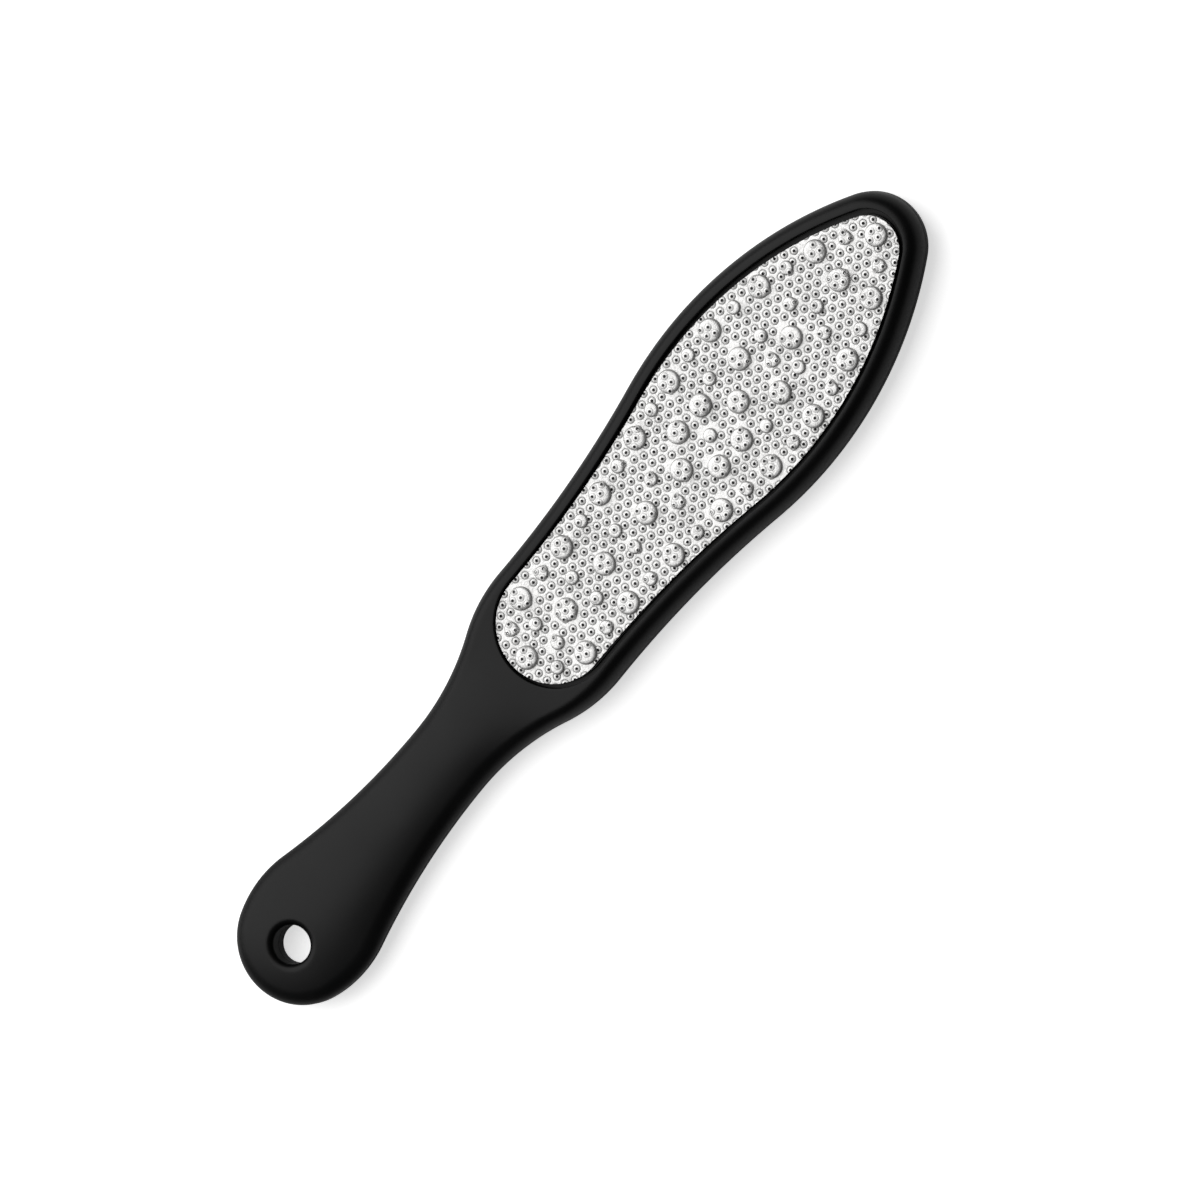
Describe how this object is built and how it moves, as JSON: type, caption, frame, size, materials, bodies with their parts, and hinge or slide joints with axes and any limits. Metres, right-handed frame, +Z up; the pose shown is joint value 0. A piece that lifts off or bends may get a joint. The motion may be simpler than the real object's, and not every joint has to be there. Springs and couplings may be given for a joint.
{
  "type": "foot file",
  "caption": "Paddle-shaped double-sided foot file: black handle with hang hole, domed coarse metal plate on one face and flat fine plate on the other.",
  "frame": {"origin": "under the middle of the part, on the plane of the back face that it rests on", "axes": "+X from the hang hole along the handle to the tip of the head, +Y to the left, +Z up out of the coarse plate"},
  "size_m": [0.264, 0.054, 0.0125],
  "materials": {
    "handle": "black ABS with a fine matt soft-touch finish",
    "coarse_metal": "bright nickel-plated pressed sheet",
    "fine_metal": "bright nickel-plated etched sheet",
    "adhesive": "black acrylic foam tape"
  },
  "bodies": {
    "root": {"front_handle_shell": "handle", "back_handle_shell": "handle", "coarse_file_plate": "coarse_metal", "coarse_plate_adhesive": "adhesive", "fine_file_plate": "fine_metal", "fine_plate_adhesive": "adhesive"}
  },
  "joints": []
}
